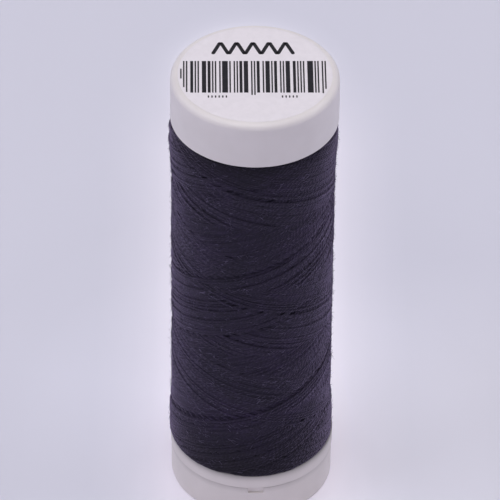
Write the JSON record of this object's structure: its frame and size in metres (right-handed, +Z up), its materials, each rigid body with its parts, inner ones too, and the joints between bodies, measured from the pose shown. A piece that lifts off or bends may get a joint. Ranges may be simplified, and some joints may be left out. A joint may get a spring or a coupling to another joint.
{
  "type": "spool of sewing thread",
  "caption": "Slender upright spool of dark cross-wound sewing thread, with a white cap, a round paper label and a pull-out base that clamps the thread's end.",
  "frame": {"origin": "middle of the underside of the base, where the spool stands", "axes": "+Z up the spool's axis, -Y to the front, where the base has its thread notch"},
  "size_m": [0.02, 0.02, 0.0611],
  "materials": {
    "core_plastic": "satin",
    "cap_plastic": "satin",
    "base_plastic": "satin",
    "label_paper": "matte",
    "thread": "matte"
  },
  "bodies": {
    "spool": {"spool_core": "core_plastic", "thread_core": "thread", "outer_winding": "thread", "top_cap": "cap_plastic", "face_label": "label_paper"},
    "base": {"base_cap": "base_plastic"}
  },
  "joints": [
    {"name": "base_pull", "type": "slide", "parent": "spool", "child": "base", "axis": [0, 0, -1], "range_m": [0, 0.0015]}
  ]
}
